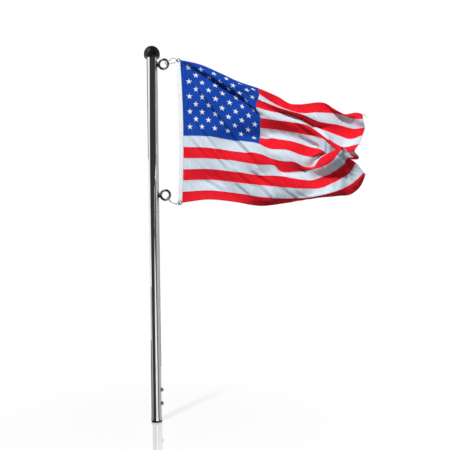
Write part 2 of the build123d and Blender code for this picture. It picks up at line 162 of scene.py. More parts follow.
# Each tie's route in metres: from its knot at the grommet, round the wire of the eye and back through the
# grommet.
upper_tie_route = [
    (0.053852, -0.0045, 0.7410), (0.0512, -0.0046, 0.7449), (0.0458, -0.00455, 0.7450),
    (0.0424, -0.0050, 0.7424), (0.0380, -0.0052, 0.7396), (0.0330, -0.0048, 0.7386),
    (0.0284, -0.00435, 0.7375), (0.0284, 0.00435, 0.7356), (0.0345, 0.00435, 0.7356),
    (0.0430, 0.00435, 0.7372), (0.0505, 0.0043, 0.7382), (0.055112, 0.0039, 0.7410),
    (0.055112, -0.00324, 0.7410),
]
lower_tie_route = [
    (0.053852, -0.0045, 0.4472), (0.0490, -0.004425, 0.4440), (0.0430, -0.00435, 0.4452),
    (0.0370, -0.00435, 0.4482), (0.0325, -0.00435, 0.4530), (0.0283, -0.00435, 0.4590),
    (0.0283, 0.00435, 0.4578), (0.0330, 0.00435, 0.4520), (0.0374, 0.00435, 0.4474),
    (0.0430, 0.00435, 0.4446), (0.0490, 0.00435, 0.4434), (0.055112, 0.0039, 0.4472),
    (0.055112, -0.00324, 0.4472),
]
upper_knot_place = (0.055112, -0.0045, 0.7410)
lower_knot_place = (0.055112, -0.0045, 0.4472)

# Radius and offset of the pressed eyelet's section, in millimetres.
eyelet_section = [
    (2.2, -1.6), (2.2, 1.6), (2.4, 1.92), (2.85, 2.1), (3.45, 2.02), (3.88, 1.75), (4.0, 1.45), (3.6, 1.36),
    (2.75, 1.36), (2.75, -1.36), (3.6, -1.36), (4.0, -1.45), (3.88, -1.75), (3.45, -2.02), (2.85, -2.1),
    (2.4, -1.92),
]

# Cards round the pole that draw bands down the polished tube. Each has a shade, then rows of how far out
# and how high it stands, in metres, and the angles of its two sides from the camera's direction, in degrees.
tube_cards = {
    "dark_card": (0.040, [
        (0.0125, 0.001, -70, -8), (0.6, 0.001, -70, -9), (0.6, 0.11, -72, -9), (0.6, 0.27, -76, -4),
        (0.6, 0.42, -78, 1), (0.6, 0.53, -79, 16), (0.6, 0.56, -78, 30), (0.6, 0.61, -77, 56),
        (0.6, 0.66, -74, 60), (0.6, 0.81, -61, 62), (0.6, 0.95, -51, 74), (0.6, 1.3, -46, 76),
    ]),
    "dim_card": (0.10, [
        (0.0125, 0.002, 30, 52), (0.6, 0.002, 29, 52), (0.6, 0.11, 25, 49), (0.6, 0.27, 18, 47),
        (0.6, 0.33, 10, 47), (0.6, 0.40, 0, 47), (0.6, 0.56, 26, 48),
    ]),
    "right_card": (0.48, [
        (0.0125, 0.001, 52, 116), (0.6, 0.001, 52, 116), (0.6, 0.42, 50, 118), (0.6, 0.95, 66, 126),
        (0.6, 1.3, 68, 128),
    ]),
    "right_edge_card": (0.14, [
        (0.6, 0.001, 118, 138), (0.6, 0.42, 119, 140), (0.6, 0.66, 124, 150), (0.6, 0.95, 127, 170),
        (0.6, 1.3, 129, 170),
    ]),
    "low_left_card": (0.42, [
        (0.0125, 0.001, -96, -70), (0.6, 0.001, -96, -70), (0.6, 0.12, -106, -72), (0.6, 0.24, -106, -78),
    ]),
    "low_edge_card": (0.14, [
        (0.0125, 0.001, -142, -96), (0.6, 0.001, -142, -96), (0.6, 0.08, -130, -104),
    ]),
    "high_left_card": (0.20, [
        (0.6, 0.62, -150, -116), (0.6, 0.83, -165, -114), (0.6, 0.95, -178, -110), (0.6, 1.3, -178, -108),
    ]),
    "ceiling_card": (0.05, [
        (0.9, 1.35, -180, 180), (0.5, 1.36, -180, 180), (0.02, 1.37, -180, 180),
    ]),
    # The cap card glows brightly and is seen only in reflections: it makes the soft highlight on the left of
    # the black cap.
    "cap_card": (6.0, [
        (0.68, 1.12, -78, -42), (0.52, 1.24, -80, -40), (0.38, 1.32, -82, -38),
    ]),
}

# Where each lamp stands and the spot that it faces, in metres.
lamp_stands = {
    "key_lamp": ((-0.42, -1.69, 2.32), (0.2, 0.0, 0.58)),
    "fill_lamp": ((1.9, -1.2, 0.8), (0.1, 0.0, 0.45)),
    "back_lamp": ((0.9, 1.9, 1.5), (0.2, 0.0, 0.55)),
}

# Nets that the cloth settles on, from coarse to fine: columns, rows, rounds, hold on the outline, hold on the
# depth, stiffness against bending, and how hard cloth that is pressed together pushes back.
cloth_nets = [
    (36, 27, 600, 0.06, 0.020, 0.010, 1.0),
    (57, 40, 300, 0.05, 0.016, 0.012, 0.5),
    (113, 79, 100, 0.05, 0.016, 0.030, 0.1),
]
finished_rows = 157
finished_columns = 225

# Hems along the fly end and along the top and bottom edges, in metres.
fly_hem_width = 0.011
edge_hem_width = 0.0055

# Threads loose at the fly end: share of the hoist, length and drop in metres, and turn of the curl.
loose_threads = [
    (0.0, 0.0135, 0.002, 0.4), (0.004, 0.006, -0.003, -0.8), (0.31, 0.006, 0.003, 0.6),
    (0.56, 0.007, 0.004, -0.5), (0.62, 0.005, 0.002, 0.9), (0.97, 0.006, 0.004, 0.3),
]

picture_width = 450
picture_middle = picture_width / 2


class FlagClothSettings(bpy.types.PropertyGroup):
    """Cut size, pattern and colours of the flag's cloth."""

    fly_length: bpy.props.FloatProperty(
        name="Fly length", description="Flat length of the cloth from the header seam to the fly end",
        default=0.4482, min=0.05, unit="LENGTH")
    hoist_height: bpy.props.FloatProperty(
        name="Hoist height", description="Flat height of the cloth along the pole",
        default=0.3048, min=0.05, unit="LENGTH")
    thickness: bpy.props.FloatProperty(
        name="Hem thickness", description="Thickness of the folded hem, about twice that of the cloth",
        default=0.001, min=0.0002, max=0.003, unit="LENGTH")
    tuck: bpy.props.FloatProperty(
        name="Tuck", description="How far the cloth is sewn into the header",
        default=0.0016, min=0, max=0.008, unit="LENGTH")
    stripe_count: bpy.props.IntProperty(
        name="Stripes", description="Number of stripes down the hoist", default=13, min=3, max=25)
    canton_stripes: bpy.props.IntProperty(
        name="Canton stripes", description="Number of stripes beside the canton", default=7, min=1, max=13)
    canton_share: bpy.props.FloatProperty(
        name="Canton share", description="Share of the fly that the canton takes",
        default=0.388, min=0.1, max=0.9, subtype="FACTOR")
    star_span: bpy.props.FloatProperty(
        name="Star span", description="Diameter of the circle through a star's tips",
        default=0.0140, min=0.002, unit="LENGTH")
    red: bpy.props.FloatVectorProperty(
        name="Red", description="Dye of the red stripes", size=4, subtype="COLOR", min=0, max=1,
        default=(0.88, 0.012, 0.026, 1))
    white: bpy.props.FloatVectorProperty(
        name="White", description="Dye of the white stripes and stars", size=4, subtype="COLOR", min=0, max=1,
        default=(0.70, 0.79, 0.87, 1))
    blue: bpy.props.FloatVectorProperty(
        name="Blue", description="Dye of the canton", size=4, subtype="COLOR", min=0, max=1,
        default=(0.008, 0.060, 0.39, 1))


class FlagFittingSettings(bpy.types.PropertyGroup):
    """Colours and small sizes of the pole, its fittings and the ties."""

    tape_width: bpy.props.FloatProperty(
        name="Header width", description="Width of the folded canvas header",
        default=0.009, min=0.002, unit="LENGTH")
    tape_thickness: bpy.props.FloatProperty(
        name="Header thickness", description="Thickness of the folded canvas header",
        default=0.0027, min=0.0005, unit="LENGTH")
    header_bow: bpy.props.FloatProperty(
        name="Header bow", description="How far the ties draw the header's ends toward the pole",
        default=0.0051, unit="LENGTH")
    cord_diameter: bpy.props.FloatProperty(
        name="Cord diameter", description="Thickness of the ties", default=0.0015, min=0.0005, unit="LENGTH")
    cord_lay: bpy.props.FloatProperty(
        name="Cord lay", description="Length of one full twist of the ties' strands",
        default=0.0052, min=0.001, unit="LENGTH")
    steel: bpy.props.FloatVectorProperty(
        name="Steel", description="Polished steel of the tube", size=4, subtype="COLOR",
        min=0, max=1, default=(0.88, 0.88, 0.89, 1))
    # Painted shade: the eyes and clamp screws are the tube's polished steel, darkened here to stand for the
    # dark reflections they show.
    steel_painted_dark: bpy.props.FloatVectorProperty(
        name="Steel painted dark", description="Darker plated steel of the eyes and clamp screws", size=4,
        subtype="COLOR", min=0, max=1, default=(0.40, 0.40, 0.41, 1))
    dark_steel: bpy.props.FloatVectorProperty(
        name="Dark steel", description="Oiled steel of the threaded inserts", size=4, subtype="COLOR",
        min=0, max=1, default=(0.10, 0.10, 0.105, 1))
    black: bpy.props.FloatVectorProperty(
        name="Black plastic", description="Moulded cap and socket bush", size=4, subtype="COLOR",
        min=0, max=1, default=(0.006, 0.006, 0.0065, 1))
    brass: bpy.props.FloatVectorProperty(
        name="Plated brass", description="Pressed grommets, plated pale", size=4, subtype="COLOR",
        min=0, max=1, default=(0.86, 0.84, 0.78, 1))
    canvas: bpy.props.FloatVectorProperty(
        name="Canvas", description="Woven header tape", size=4, subtype="COLOR",
        min=0, max=1, default=(0.94, 0.95, 0.96, 1))
    cord: bpy.props.FloatVectorProperty(
        name="Cord", description="Twisted cord of the ties", size=4, subtype="COLOR",
        min=0, max=1, default=(0.50, 0.51, 0.52, 1))


class FlagStudioSettings(bpy.types.PropertyGroup):
    """Camera, lamps, room and floor."""

    view_turn: bpy.props.FloatProperty(
        name="View turn", description="How far the camera stands round the pole",
        default=math.radians(17.94), unit="ROTATION")
    view_distance: bpy.props.FloatProperty(
        name="View distance", description="Level distance from the pole's axis",
        default=1.3024, unit="LENGTH")
    view_height: bpy.props.FloatProperty(
        name="View height", description="Height of the lens over the floor",
        default=0.3561, unit="LENGTH")
    aim_right: bpy.props.FloatProperty(
        name="Aim right", description="Turn of the lens away from the pole",
        default=math.radians(6.442), unit="ROTATION")
    aim_up: bpy.props.FloatProperty(
        name="Aim up", description="Upward tilt of the lens", default=math.radians(1.915), unit="ROTATION")
    roll: bpy.props.FloatProperty(
        name="Roll", description="Roll of the lens", default=math.radians(-1.001), unit="ROTATION")
    focal_pixels: bpy.props.FloatProperty(
        name="Focal length in pixels", description="Focal length for a picture 450 pixels wide",
        default=627.3, min=100)
    key_power: bpy.props.FloatProperty(
        name="Key power", description="Power of the main lamp", default=66, min=0, subtype="POWER")
    key_size: bpy.props.FloatProperty(
        name="Key size", description="Diameter of the main lamp", default=0.22, min=0.05, unit="LENGTH")
    fill_power: bpy.props.FloatProperty(
        name="Fill power", description="Power of the wide side lamp", default=1, min=0, subtype="POWER")
    fill_size: bpy.props.FloatProperty(
        name="Fill size", description="Diameter of the wide side lamp", default=1.2, min=0.05, unit="LENGTH")
    back_power: bpy.props.FloatProperty(
        name="Back power", description="Power of the soft lamp behind the flag",
        default=22, min=0, subtype="POWER")
    back_size: bpy.props.FloatProperty(
        name="Back size", description="Diameter of the soft lamp behind the flag",
        default=0.9, min=0.05, unit="LENGTH")
    room_level: bpy.props.FloatProperty(
        name="Room level", description="Even light from all round", default=0.20, min=0)
    floor_gloss: bpy.props.FloatProperty(
        name="Floor gloss", description="Share of the floor that mirrors the object",
        default=0.32, min=0, max=1, subtype="FACTOR")


class Value:
    """A number over a surface, worked out by shader nodes."""

    def __init__(self, shading, socket):
        self.shading = shading
        self.socket = socket

    def worked(self, operation, other=None, swapped=False):
        """One step of arithmetic with this number, alone or with another."""
        sockets = {0: self}
        if other is not None:
            sockets = {0: other, 1: self} if swapped else {0: self, 1: other}
        return self.shading.node("ShaderNodeMath", {"operation": operation}, sockets)

    def __add__(self, other):
        return self.worked("ADD", other)

    def __radd__(self, other):
        return self.worked("ADD", other)

    def __sub__(self, other):
        return self.worked("SUBTRACT", other)

    def __rsub__(self, other):
        return self.worked("SUBTRACT", other, True)

    def __mul__(self, other):
        return self.worked("MULTIPLY", other)

    def __rmul__(self, other):
        return self.worked("MULTIPLY", other)

    def __mod__(self, other):
        return self.worked("FLOORED_MODULO", other)

    def __lt__(self, other):
        return self.worked("LESS_THAN", other)

    def __gt__(self, other):
        return self.worked("GREATER_THAN", other)

    def __abs__(self):
        return self.worked("ABSOLUTE")

    def whole(self):
        return self.worked("FLOOR")

    def sine(self):
        return self.worked("SINE")

    def root(self):
        return self.worked("SQRT")

    def smaller(self, other):
        return self.worked("MINIMUM", other)

    def larger(self, other):
        return self.worked("MAXIMUM", other)

    def eased(self, start, end):
        """0 before start, 1 after end, with a soft step between them."""
        settings = {"interpolation_type": "SMOOTHSTEP"}
        return self.shading.node("ShaderNodeMapRange", settings, {0: self, 1: start, 2: end, 3: 0.0, 4: 1.0})


class Shading:
    """Nodes that are added to one tree, of a finish or of the room."""

    def __init__(self, tree):
        self.tree = tree

    def fill(self, socket, value):
        if isinstance(value, Value):
            self.tree.links.new(value.socket, socket)
        else:
            socket.default_value = value

    def node(self, kind, settings=None, sockets=None, output=0):
        """Adds a node with its settings, then the values or links of its sockets."""
        made = self.tree.nodes.new(kind)
        for setting, value in (settings or {}).items():
            setattr(made, setting, value)
        for socket, value in (sockets or {}).items():
            self.fill(made.inputs[socket], value)
        return Value(self, made.outputs[output])

    def parts(self, vector):
        """The three numbers of a vector."""
        split = self.tree.nodes.new("ShaderNodeSeparateXYZ")
        self.fill(split.inputs[0], vector)
        return [Value(self, socket) for socket in split.outputs]

    def joined(self, first, second):
        """A vector made from two numbers."""
        return self.node("ShaderNodeCombineXYZ", None, {0: first, 1: second})

    def place(self):
        return self.node("ShaderNodeTexCoord", output="Object")

    def pattern_place(self):
        return self.node("ShaderNodeTexCoord", output="UV")

    def ray(self, kind):
        """1 where the ray is of this kind, and 0 elsewhere."""
        return self.node("ShaderNodeLightPath", output=kind)

    def direct_ray(self):
        """1 for rays from the lens, off polished metal or through clear pieces, and 0 for the rest."""
        seen = self.ray("Is Camera Ray")
        shiny = self.ray("Is Glossy Ray")
        through = self.ray("Is Transmission Ray")
        return seen.larger(shiny).larger(through)

    def stretched(self, vector, scale):
        """The vector with its sides scaled, for a grain that runs one way."""
        return self.node("ShaderNodeVectorMath", {"operation": "MULTIPLY"}, {0: vector, 1: scale})

    def noise(self, vector, scale, detail=2.0):
        return self.node("ShaderNodeTexNoise", None, {"Vector": vector, "Scale": scale, "Detail": detail})

    def mixed(self, share, first, second):
        """A colour between two colours."""
        return self.node(
            "ShaderNodeMix", {"data_type": "RGBA"}, {0: share, 6: first, 7: second}, output=2)

    def blended(self, share, first, second):
        """A shader between two shaders."""
        return self.node("ShaderNodeMixShader", None, {0: share, 1: first, 2: second})

    def glow(self, strength):
        """An even white light."""
        return self.node("ShaderNodeEmission", None, {"Color": (1, 1, 1, 1), "Strength": strength})

    def show(self, shader, output):
        """Makes this shader the one that is seen."""
        self.fill(self.tree.nodes[output].inputs[0], shader)


class Finish(Shading):
    """A material whose nodes are added round one surface shader."""

    def __init__(self, name):
        self.material = bpy.data.materials.new(name)
        self.material.use_nodes = True
        super().__init__(self.material.node_tree)
        self.surface = self.tree.nodes["Principled BSDF"]

    def bump(self, height, depth):
        """Tilts the surface by a height given in metres."""
        tilt = self.node("ShaderNodeBump", None, {"Strength": 1.0, "Distance": depth, "Height": height})
        self.fill(self.surface.inputs["Normal"], tilt)

    def set(self, **sockets):
        """Fills the surface shader's sockets, named with underscores for spaces."""
        for name, value in sockets.items():
            title = name.replace("_", " ").title().replace("Ior", "IOR")
            self.fill(self.surface.inputs[title], value)

    def dress(self, piece):
        piece.data.materials.clear()
        piece.data.materials.append(self.material)


def tinted(tint, share):
    """A darker shade of a colour."""
    return tuple(share * part for part in tint[:3]) + (1,)


def stitch_row(distance, place, core, rim):
    """1 along a row of stitches at a place from an edge, fading from its core to its rim."""
    return 1.0 - abs(distance - place).eased(core, rim)


def steel_finish(name, tint, roughness, streak):
    """Drawn and polished metal: faint streaks along the tube, and a soft smear of handling marks."""
    metal = Finish(name)
    place = metal.place()
    streaks = metal.noise(metal.stretched(place, (900.0, 900.0, 14.0)), 1.0, 3.0)
    smears = metal.noise(place, 38.0, 3.0)
    shade = metal.mixed((streaks * 0.5 + smears * 0.5).eased(0.3, 0.7), tinted(tint, 0.88), tuple(tint))
    metal.set(base_color=shade, metallic=1.0, roughness=roughness + streak * streaks + 0.03 * smears)
    metal.bump(streaks, 0.000004)
    return metal


def plastic_finish(name, tint):
    """Moulded plastic with a fine orange-peel skin and a few dull patches."""
    plastic = Finish(name)
    place = plastic.place()
    skin = plastic.noise(place, 900.0, 2.0)
    dull = plastic.noise(place, 120.0, 4.0)
    shade = plastic.mixed(dull.eased(0.45, 0.8), tuple(tint), (0.012, 0.012, 0.0125, 1))
    plastic.set(base_color=shade, roughness=0.34 + 0.14 * dull, specular_ior_level=0.35)
    plastic.bump(skin, 0.00001)
    return plastic


def brass_finish(name, tint):
    """Plated brass, a little browned where it was rolled."""
    brass = Finish(name)
    place = brass.place()
    browned = brass.noise(place, 320.0, 4.0)
    shade = brass.mixed(browned.eased(0.45, 0.75), tuple(tint), (0.70, 0.62, 0.46, 1))
    brass.set(base_color=shade, metallic=1.0, roughness=0.22 + 0.2 * browned)
    brass.bump(browned, 0.00001)
    return brass


def canvas_finish(name, tint, bow):
    """Close canvas weave with two rows of lockstitch down the cloth side and one beside the fold."""
    canvas = Finish(name)
    place = canvas.place()
    across, along = canvas.parts(place)[::2]
    share = (along - header_middle) * (2 / header_length)
    from_cloth = header_high.x - bow * (share * share) - across
    weave_pitch = 0.0009
    turn = 2 * math.pi / weave_pitch
    weave = (from_cloth * turn).sine() * (along * turn).sine()
    stitch_length = 0.003
    run = (along * (2 * math.pi / stitch_length)).sine() > -0.6
    core = 0.00015
    rim = 0.0004
    near_row = stitch_row(from_cloth, 0.0013, core, rim)
    far_row = stitch_row(from_cloth, 0.0034, core, rim)
    fold_row = stitch_row(from_cloth, 0.0079, core, rim)
    stitches = run * near_row.larger(far_row).larger(fold_row)
    soil = canvas.noise(place, 60.0, 4.0)
    shade = canvas.mixed(soil.eased(0.4, 0.8), tuple(tint), tinted(tint, 0.93))
    sewn = canvas.mixed(stitches * 0.3, shade, tinted(tint, 0.6))
    canvas.set(base_color=sewn, roughness=0.85, specular_ior_level=0.2)
    canvas.bump(0.5 * weave - 2.0 * stitches, 0.00006)
    return canvas


def cord_finish(name, tint):
    """Twisted cord, each strand lined with fine fibres."""
    cord = Finish(name)
    place = cord.place()
    fibres = cord.noise(place, 2600.0, 3.0)
    shade = cord.mixed(fibres.eased(0.3, 0.7), tinted(tint, 0.7), tuple(tint))
    cord.set(base_color=shade, roughness=0.75, specular_ior_level=0.2)
    cord.bump(fibres, 0.00006)
    return cord


def thread_finish(name, tint):
    """Loose sewing thread, fluffed along its length."""
    thread = Finish(name)
    fluff = thread.noise(thread.place(), 1800.0, 3.0)
    shade = thread.mixed(fluff.eased(0.3, 0.7), tinted(tint, 0.55), tinted(tint, 0.8))
    thread.set(base_color=shade, roughness=0.8, specular_ior_level=0.2)
    thread.bump(fluff, 0.00008)
    return thread


def flag_finish(settings):
    """Dyed woven cloth in stripes, with a starred canton, sewn seams and stitched hems."""
    cloth = Finish("flag_cloth")
    across, upward = cloth.parts(cloth.pattern_place())[:2]
    down = 1.0 - upward
    length = settings.fly_length
    height = settings.hoist_height
    count = settings.stripe_count
    stripe = down * float(count)
    white_stripe = (stripe.whole() % 2.0) > 0.5
    canton_height = settings.canton_stripes / count
    in_canton = (across < settings.canton_share) * (down < canton_height)

    # The stars stand on two crossed rows of diagonals, eleven columns by nine rows.
    last_column = 11
    last_row = 9
    shift_to_fly = 0.14
    shift_up = 0.17
    column = across * ((last_column + 1) / settings.canton_share) - shift_to_fly
    row = down * ((last_row + 1) / canton_height) + shift_up
    rising = ((column + row) * 0.5 + 0.5).whole()
    falling = ((column - row) * 0.5 + 0.5).whole()
    star_column = rising + falling
    star_row = rising - falling
    inside = (star_column > 0.5) * (star_column < last_column + 0.5)
    inside = inside * (star_row > 0.5) * (star_row < last_row + 0.5)
    sideways = (column - star_column) * (settings.canton_share * length / (last_column + 1))
    upright = (star_row - row) * (canton_height * height / (last_row + 1))
    radius = (sideways * sideways + upright * upright).root()
    tip_turn = 2 * math.pi / 5
    half_tip = math.radians(18)
    angle = sideways.worked("ARCTAN2", upright) + 0.5 * tip_turn
    from_tip = abs(angle % tip_turn - 0.5 * tip_turn)
    star_edge = settings.star_span / 2 * math.sin(half_tip)
    reach = radius * (from_tip + half_tip).sine()
    star = inside * in_canton * (1.0 - reach.eased(star_edge * 0.94, star_edge * 1.04))

    # Distances in metres from the seams and edges.
    seam_away = abs((stripe + 0.5) % 1.0 - 0.5) * (height / count)
    canton_side = abs(across - settings.canton_share) * length + 0.1 * (down > canton_height)
    canton_foot = abs(down - canton_height) * height + 0.1 * (across > settings.canton_share)
    seam_away = (seam_away + 0.1 * in_canton).smaller(canton_side.smaller(canton_foot))
    fly_away = (1.0 - across) * length
    edge_away = down.smaller(upward) * height
    hem = ((fly_away < fly_hem_width) + (edge_away < edge_hem_width)).smaller(1.0)

    stitch_length = 0.0026
    run_across = (across * (2 * math.pi * length / stitch_length)).sine()
    run_down = (down * (2 * math.pi * height / stitch_length)).sine()
    row_pitch = 0.0028
    core = 0.0002
    rim = 0.0005
    seam_row = stitch_row(seam_away, 0.0017, core, rim)
    hem_row = stitch_row(edge_away, 0.0046, core, rim)
    fly_row = stitch_row(fly_away % row_pitch, row_pitch / 2, core, rim)
    fly_rows = fly_row * (fly_away < 4 * row_pitch)
    stitches = (seam_row.larger(hem_row) * (run_across > -0.5)).larger(fly_rows * (run_down > -0.5))

    thread_pitch = 0.0007
    satin_pitch = 0.0006
    thread_turn = 2 * math.pi / thread_pitch
    weave = (across * (thread_turn * length)).sine() * (down * (thread_turn * height)).sine()
    satin = (radius * (2 * math.pi / satin_pitch)).sine()
    seam_ridge = 1.0 - seam_away.eased(0.0012, 0.0032)

    # Small wrinkles lean along the folds, and short puckers run down beside the header.
    along_fold = across * (length * 0.64) + down * (height * 0.77)
    over_fold = across * (length * 0.77) - down * (height * 0.64)
    wrinkles = cloth.noise(cloth.joined(along_fold * 14.0, over_fold * 95.0), 1.0, 2.0)
    near_header = 1.0 - (across * length).eased(0.008, 0.075)
    puckers = cloth.noise(cloth.joined(across * (length * 190.0), down * (height * 16.0)), 1.0, 2.0)
    rumples = 18.0 * wrinkles + 16.0 * near_header * puckers
    raised = 0.10 * weave + 1.6 * star + 0.12 * star * satin + 1.1 * seam_ridge + 0.9 * hem - 0.7 * stitches

    striped = cloth.mixed(white_stripe, tuple(settings.red), tuple(settings.white))
    ground = cloth.mixed(in_canton, striped, tuple(settings.blue))
    starred = cloth.mixed(star, ground, (0.86, 0.88, 0.90, 1))
    worn = cloth.noise(cloth.place(), 26.0, 4.0)
    faded = cloth.mixed(worn.eased(0.4, 0.85) * 0.10, starred, (0.0, 0.0, 0.0, 1))
    sewn = cloth.mixed(stitches * 0.22, faded, (0.12, 0.08, 0.10, 1))
    cloth.set(base_color=sewn, roughness=0.62 - 0.15 * star, specular_ior_level=0.14)
    cloth.bump(raised + rumples, 0.00018)
    return cloth


def clear_selection():
    if bpy.context.object is not None and bpy.context.object.mode != "OBJECT":
        bpy.ops.object.mode_set(mode="OBJECT")
    bpy.ops.object.select_all(action="DESELECT")


def choose(piece):
    clear_selection()
    piece.select_set(True)
    bpy.context.view_layer.objects.active = piece


def settle(piece):
    """Puts the piece's place into its mesh."""
    choose(piece)
    bpy.ops.object.transform_apply(location=True, rotation=True, scale=True)


def finish_with(piece, kind, **settings):
    """Adds a modifier and applies it."""
    choose(piece)
    made = piece.modifiers.new(kind.title(), kind)
    for setting, value in settings.items():
        setattr(made, setting, value)
    bpy.ops.object.modifier_apply(modifier=made.name)


def lens_axes(studio):
    """Where the lens stands and its forward, right and up directions."""
    turn = studio.view_turn
    eye = np.array([math.sin(turn) * studio.view_distance, -math.cos(turn) * studio.view_distance,
                    studio.view_height])
    forward = np.array([-math.sin(turn), math.cos(turn), 0.0])
    right = np.array([math.cos(turn), math.sin(turn), 0.0])
    up = np.array([0.0, 0.0, 1.0])
    forward, right = (forward * math.cos(studio.aim_right) + right * math.sin(studio.aim_right),
                      right * math.cos(studio.aim_right) - forward * math.sin(studio.aim_right))
    forward, up = (forward * math.cos(studio.aim_up) + up * math.sin(studio.aim_up),
                   up * math.cos(studio.aim_up) - forward * math.sin(studio.aim_up))
    right, up = (right * math.cos(studio.roll) + up * math.sin(studio.roll),
                 up * math.cos(studio.roll) - right * math.sin(studio.roll))
    return eye, forward, right, up


def curve_through(stations, heights, places):
    """Smooth values at places along a line given at stations."""
    slopes = np.gradient(heights, stations)
    gaps = np.diff(stations)
    before = np.clip(np.searchsorted(stations, places) - 1, 0, len(gaps) - 1)
    share = (places - stations[before]) / gaps[before]
    rest = 1 - share
    return ((1 + 2 * share) * rest ** 2 * heights[before]
            + share * rest ** 2 * gaps[before] * slopes[before]
            + share ** 2 * (3 - 2 * share) * heights[before + 1]
            - share ** 2 * rest * gaps[before] * slopes[before + 1])


def spread(grid, rows, columns):
    """The grid drawn again with more rows and columns."""
    old_rows, old_columns = grid.shape[:2]
    stations = np.arange(old_columns, dtype=float)
    places = np.linspace(0, old_columns - 1, columns)
    wide = np.zeros((old_rows, columns, 3))
    for row in range(old_rows):
        for part in range(3):
            wide[row, :, part] = curve_through(stations, grid[row, :, part], places)
    stations = np.arange(old_rows, dtype=float)
    places = np.linspace(0, old_rows - 1, rows)
    full = np.zeros((rows, columns, 3))
    for column in range(columns):
        for part in range(3):
            full[:, column, part] = curve_through(stations, wide[:, column, part], places)
    return full


def hoist_edge(height, bow):
    """How far out the header's cloth side stands: the ties draw its ends toward the pole."""
    share = 2 * (height - header_middle) / header_length
    return header_high.x - bow * share ** 2


def fold_targets(rows, columns, cloth, fittings, studio):
    """Where the photograph's stripe edges put each point of the cloth, in metres."""
    shares = np.linspace(0, 1, columns)
    lines = np.zeros((len(fold_lines), columns, 3))
    for line, stations in enumerate(fold_lines.values()):
        table = np.array(stations, dtype=float)
        for part in range(3):
            lines[line, :, part] = curve_through(table[:, 0], table[:, part + 1], shares)
    seen = spread(lines, rows, columns)
    eye, forward, right, up = lens_axes(studio)
    rays = (forward + ((seen[..., 0] - picture_middle) / studio.focal_pixels)[..., None] * right
            - ((seen[..., 1] - picture_middle) / studio.focal_pixels)[..., None] * up)
    depth = (-seen[..., 2] / 1000 - eye[1]) / rays[..., 1]
    targets = eye + depth[..., None] * rays
    targets[:, 0, 0] = hoist_edge(targets[:, 0, 2], fittings.header_bow) - cloth.tuck
    targets[:, 0, 1] = 0
    return targets


def pull(points, first, second, length, stiffness, press, free):
    """Draws pairs of points back to their distance in the flat cloth. press is for pairs too near."""
    apart = points[second] - points[first]
    now = np.linalg.norm(apart, axis=-1)
    strength = np.where(now > length, stiffness, stiffness * press)
    step = (strength * (now - length) / np.maximum(now, 1e-9))[..., None] * apart
    total = np.maximum(free[first] + free[second], 1e-6)
    points[first] += step * free[first] / total
    points[second] -= step * free[second] / total


def bend_of(points):
    """How far each point stands from the middle of its neighbours."""
    bend = np.zeros_like(points)
    bend[:, 1:-1] += points[:, :-2] + points[:, 2:] - 2 * points[:, 1:-1]
    bend[1:-1] += points[:-2] + points[2:] - 2 * points[1:-1]
    return bend


def settle_cloth(points, targets, eye, size, rounds, hold, depth_hold, bending, press):
    """Lets the cloth find its length while it keeps the outline that the camera sees."""
    rows, columns = points.shape[:2]
    wide = size[0] / (columns - 1)
    tall = size[1] / (rows - 1)
    slant = math.hypot(wide, tall)
    every = slice(None)
    free = np.ones((rows, columns, 1))
    free[:, 0] = 0
    points[:, 0] = targets[:, 0]
    ray = targets - eye
    ray /= np.linalg.norm(ray, axis=-1, keepdims=True)
    thread_pull = 1.0
    slant_pull = 0.3
    threads = []
    slants = []
    for start in (0, 1):
        left = slice(start, columns - 1, 2)
        right = slice(start + 1, columns, 2)
        upper = slice(start, rows - 1, 2)
        lower = slice(start + 1, rows, 2)
        threads.append(((every, left), (every, right), wide, thread_pull))
        threads.append(((upper, every), (lower, every), tall, thread_pull))
        slants.append(((upper, slice(0, columns - 1)), (lower, slice(1, columns)), slant, slant_pull))
        slants.append(((upper, slice(1, columns)), (lower, slice(0, columns - 1)), slant, slant_pull))
    for turn in range(rounds):
        gap = targets - points
        along = (gap * ray).sum(-1, keepdims=True) * ray
        points += free * (hold * (gap - along) + depth_hold * along)
        for first, second, length, stiffness in threads + slants:
            pull(points, first, second, length, stiffness, press, free)
        points -= bending * free * bend_of(bend_of(points))
    return points


def creased(points, size):
    """Presses the creases into the cloth."""
    rows, columns = points.shape[:2]
    across, down = np.meshgrid(np.linspace(0, size[0], columns), np.linspace(0, size[1], rows))
    facing = np.cross(np.gradient(points, axis=0), np.gradient(points, axis=1))
    facing /= np.linalg.norm(facing, axis=-1, keepdims=True)
    for fly_start, hoist_start, fly_end, hoist_end, bow, width, step in crease_lines:
        start = np.array([fly_start * size[0], hoist_start * size[1]])
        way = np.array([fly_end * size[0], hoist_end * size[1]]) - start
        length = np.linalg.norm(way)
        way /= length
        run = np.clip(((across - start[0]) * way[0] + (down - start[1]) * way[1]) / length, 0, 1)
        swell = 4 * run * (1 - run)
        side = (across - start[0]) * way[1] - (down - start[1]) * way[0] - bow / 1000 * swell
        away = side / (width / 1000)
        press = step / 1000 * away * np.exp((1 - away ** 2) / 2) * np.sqrt(swell)
        points = points + press[..., None] * facing
    return points


def waving_cloth(cloth, fittings, studio):
    """The cloth's points, settled on a coarse net first and then on finer ones."""
    size = (cloth.fly_length, cloth.hoist_height)
    eye = lens_axes(studio)[0]
    points = None
    for columns, rows, rounds, hold, depth_hold, bending, press in cloth_nets:
        targets = fold_targets(rows, columns, cloth, fittings, studio)
        points = targets.copy() if points is None else spread(points, rows, columns)
        points = settle_cloth(points, targets, eye, size, rounds, hold, depth_hold, bending, press)
    return creased(spread(points, finished_rows, finished_columns), size)


def add_line(curve, places, order, cyclic=False):
    """Adds a smooth line that a row of points steers."""
    spline = curve.splines.new("NURBS")
    spline.points.add(len(places) - 1)
    for point, spot in zip(spline.points, places):
        point.co = (*spot, 1)
    spline.order_u = order
    spline.use_cyclic_u = cyclic
    spline.use_endpoint_u = not cyclic


